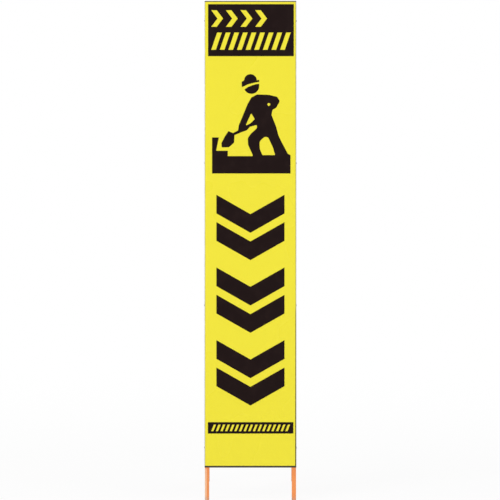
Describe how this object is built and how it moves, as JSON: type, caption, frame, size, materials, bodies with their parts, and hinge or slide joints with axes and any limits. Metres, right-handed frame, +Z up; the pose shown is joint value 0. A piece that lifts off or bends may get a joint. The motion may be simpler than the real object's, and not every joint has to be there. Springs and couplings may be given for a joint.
{
  "type": "framed construction sign",
  "caption": "Slim upright road-works sign on a square-tube frame with a folding rear stand that props it on the ground.",
  "frame": {"origin": "on the ground, in the middle of the footprint of the four feet with the stand open", "axes": "+Z up; +Y from the sign's face towards the rear stand, so the face looks along -Y; +X to the right as one reads the face"},
  "size_m": [0.2778, 0.4742, 1.4853],
  "materials": {
    "orange_paint": "semi-gloss enamel on steel tube",
    "galvanised_sheet": "hot-dip galvanised sheet with a faint spangle",
    "zinc_plated_steel": "bright zinc plate",
    "yellow_film": "prismatic retroreflective film",
    "black_ink": "screen-printed ink"
  },
  "bodies": {
    "front_frame": {"bottom_rail": "orange_paint", "chevron_print_1": "black_ink", "chevron_print_2": "black_ink", "chevron_print_3": "black_ink", "chevron_print_4": "black_ink", "chevron_print_5": "black_ink", "chevron_print_6": "black_ink", "footer_print": "black_ink", "header_print": "black_ink", "hinge_rail": "orange_paint", "left_hinge_front_leaf": "orange_paint", "left_hinge_pin": "zinc_plated_steel", "left_side_rivet_1": "zinc_plated_steel", "left_side_rivet_2": "zinc_plated_steel", "left_side_rivet_3": "zinc_plated_steel", "left_side_rivet_4": "zinc_plated_steel", "left_slide_pin_washer": "zinc_plated_steel", "left_stay_slide_pin": "zinc_plated_steel", "left_upright": "orange_paint", "lower_rail": "orange_paint", "middle_rail": "orange_paint", "reflective_film": "yellow_film", "right_hinge_front_leaf": "orange_paint", "right_hinge_pin": "zinc_plated_steel", "right_side_rivet_1": "zinc_plated_steel", "right_side_rivet_2": "zinc_plated_steel", "right_side_rivet_3": "zinc_plated_steel", "right_side_rivet_4": "zinc_plated_steel", "right_slide_pin_washer": "zinc_plated_steel", "right_stay_slide_pin": "zinc_plated_steel", "right_upright": "orange_paint", "sign_sheet": "galvanised_sheet", "top_rail": "orange_paint", "worker_figure_print": "black_ink", "worker_head_print": "black_ink", "worker_helmet_print": "black_ink"},
    "rear_stand": {"left_hinge_rear_leaf": "orange_paint", "left_pivot_washer": "zinc_plated_steel", "left_rear_leg": "orange_paint", "left_stay_pivot_rivet": "zinc_plated_steel", "rear_foot_bar": "orange_paint", "rear_middle_bar": "orange_paint", "rear_top_bar": "orange_paint", "right_hinge_rear_leaf": "orange_paint", "right_pivot_washer": "zinc_plated_steel", "right_rear_leg": "orange_paint", "right_stay_pivot_rivet": "zinc_plated_steel"},
    "left_stay": {"left_stay": "zinc_plated_steel"},
    "right_stay": {"right_stay": "zinc_plated_steel"}
  },
  "joints": [
    {"name": "stand_fold", "type": "hinge", "parent": "front_frame", "child": "rear_stand", "pos_m": [0, -0.06217, 1.14026], "axis": [-1, 0, 0], "range_deg": [0, 22]},
    {"name": "left_stay_swing", "type": "hinge", "parent": "rear_stand", "child": "left_stay", "pos_m": [-0.1211, -0.0399, 1.08397], "axis": [1, 0, 0], "range_deg": [0, 26.2]},
    {"name": "right_stay_swing", "type": "hinge", "parent": "rear_stand", "child": "right_stay", "pos_m": [0.1211, -0.0399, 1.08397], "axis": [1, 0, 0], "range_deg": [0, 26.2]}
  ],
  "couplings": [
    {"joint": "left_stay_swing", "follows": "stand_fold", "ratio": 1.1891},
    {"joint": "right_stay_swing", "follows": "stand_fold", "ratio": 1.1891}
  ]
}
